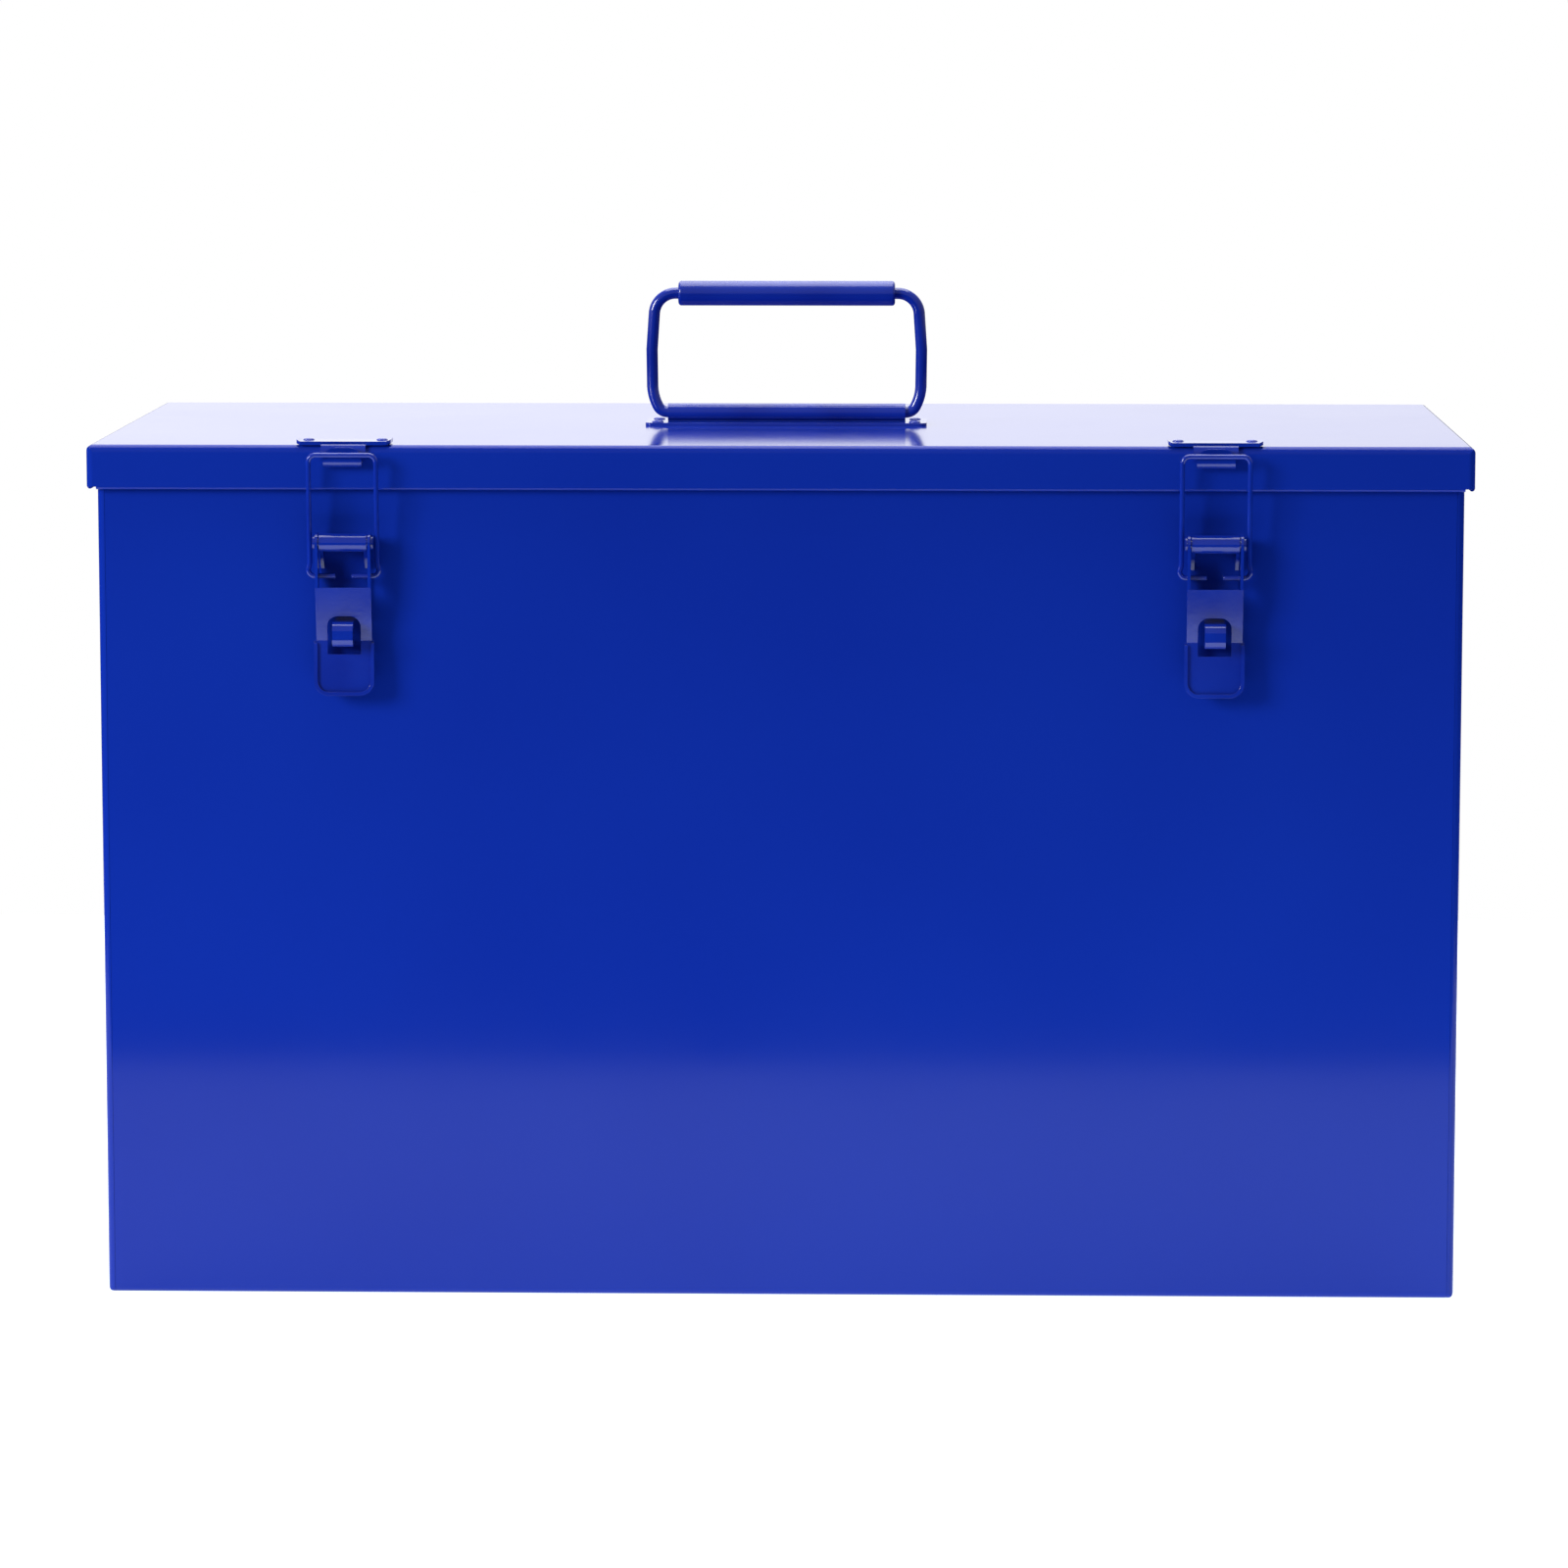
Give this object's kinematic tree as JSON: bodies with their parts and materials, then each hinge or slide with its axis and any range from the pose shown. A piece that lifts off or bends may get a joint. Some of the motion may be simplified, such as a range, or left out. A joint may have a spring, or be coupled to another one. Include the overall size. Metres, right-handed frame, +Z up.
{
  "type": "book drop box",
  "caption": "Portable sheet-steel drop box with a hinged skirted lid, draw latches on the front and a folding wire bail handle on top.",
  "frame": {"origin": "middle of the case's underside, on the floor", "axes": "+X along the width, with the left latch at -X; -Y towards the latches at the front; +Z up"},
  "size_m": [0.5578, 0.2672, 0.408],
  "materials": {
    "case_sheet": "gloss powder coat",
    "hardware": "gloss powder coat",
    "wire": "gloss powder coat",
    "grip": "gloss powder coat",
    "fastener": "gloss powder coat"
  },
  "bodies": {
    "case": {"case_wrap": "case_sheet", "end_panel_left": "case_sheet", "end_panel_right": "case_sheet", "hinge_case_leaf_left": "hardware", "hinge_case_leaf_right": "hardware", "hinge_pin_left": "fastener", "hinge_pin_right": "fastener", "hinge_case_rivets": "fastener", "latch_base_left": "hardware", "latch_base_right": "hardware", "latch_pin_left": "fastener", "latch_pin_right": "fastener", "latch_base_rivets": "fastener"},
    "lid": {"lid_pan": "case_sheet", "keeper_left": "hardware", "keeper_right": "hardware", "keeper_rivets": "fastener", "hinge_lid_leaf_left": "hardware", "hinge_lid_leaf_right": "hardware", "hinge_lid_rivets": "fastener", "handle_bracket": "hardware", "bracket_rivets": "fastener"},
    "bail": {"handle_bail": "wire"},
    "grip": {"handle_grip": "grip"},
    "lever_left": {"lever_left": "hardware"},
    "lever_right": {"lever_right": "hardware"},
    "loop_left": {"loop_left": "wire"},
    "loop_right": {"loop_right": "wire"}
  },
  "joints": [
    {"name": "lid_hinge", "type": "hinge", "parent": "case", "child": "lid", "pos_m": [0, 0.1257, 0.3255], "axis": [-1, 0, 0], "range_deg": [0, 150]},
    {"name": "bail_hinge", "type": "hinge", "parent": "lid", "child": "bail", "pos_m": [0, 0, 0.35288], "axis": [1, 0, 0], "range_deg": [-88, 88]},
    {"name": "grip_spin", "type": "hinge", "parent": "bail", "child": "grip", "pos_m": [0, 0, 0.40278], "axis": [1, 0, 0], "continuous": true},
    {"name": "lever_left_hinge", "type": "hinge", "parent": "case", "child": "lever_left", "pos_m": [-0.175, -0.131, 0.3092], "axis": [-1, 0, 0], "range_deg": [0, 150]},
    {"name": "loop_left_hinge", "type": "hinge", "parent": "lever_left", "child": "loop_left", "pos_m": [-0.175, -0.1295, 0.2955], "axis": [-1, 0, 0], "range_deg": [-165, 0]},
    {"name": "lever_right_hinge", "type": "hinge", "parent": "case", "child": "lever_right", "pos_m": [0.175, -0.131, 0.3092], "axis": [-1, 0, 0], "range_deg": [0, 150]},
    {"name": "loop_right_hinge", "type": "hinge", "parent": "lever_right", "child": "loop_right", "pos_m": [0.175, -0.1295, 0.2955], "axis": [-1, 0, 0], "range_deg": [-165, 0]}
  ],
  "couplings": [
    {"joint": "loop_left_hinge", "follows": "lever_left_hinge", "ratio": -1.1},
    {"joint": "loop_right_hinge", "follows": "lever_right_hinge", "ratio": -1.1}
  ]
}
